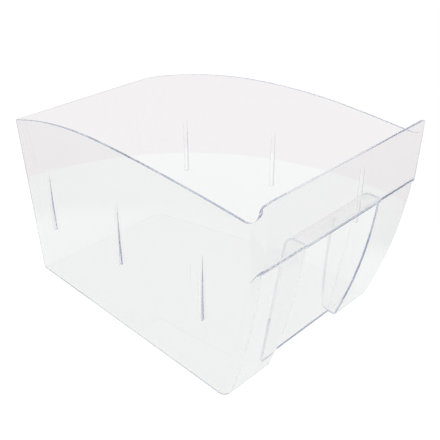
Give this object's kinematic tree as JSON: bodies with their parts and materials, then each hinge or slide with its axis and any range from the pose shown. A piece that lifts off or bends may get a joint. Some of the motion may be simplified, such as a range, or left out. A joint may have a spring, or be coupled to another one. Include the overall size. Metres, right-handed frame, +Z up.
{
  "type": "fridge crisper drawer",
  "caption": "Clear moulded right-hand crisper drawer: open tub with arched side rims, cranked right wall, raised front band and a hand recess below it.",
  "frame": {"origin": "on the underside of the floor, on the front's centre line and half-way between the front and rear bottom edges", "axes": "+Z up out of the open top, -Y out of the front, +X towards the cranked wall"},
  "size_m": [0.245, 0.3528, 0.225],
  "materials": {
    "clear_plastic": "polished clear moulding with a faint cool tint at the edges"
  },
  "bodies": {
    "root": {"drawer_tub": "clear_plastic"}
  },
  "joints": []
}
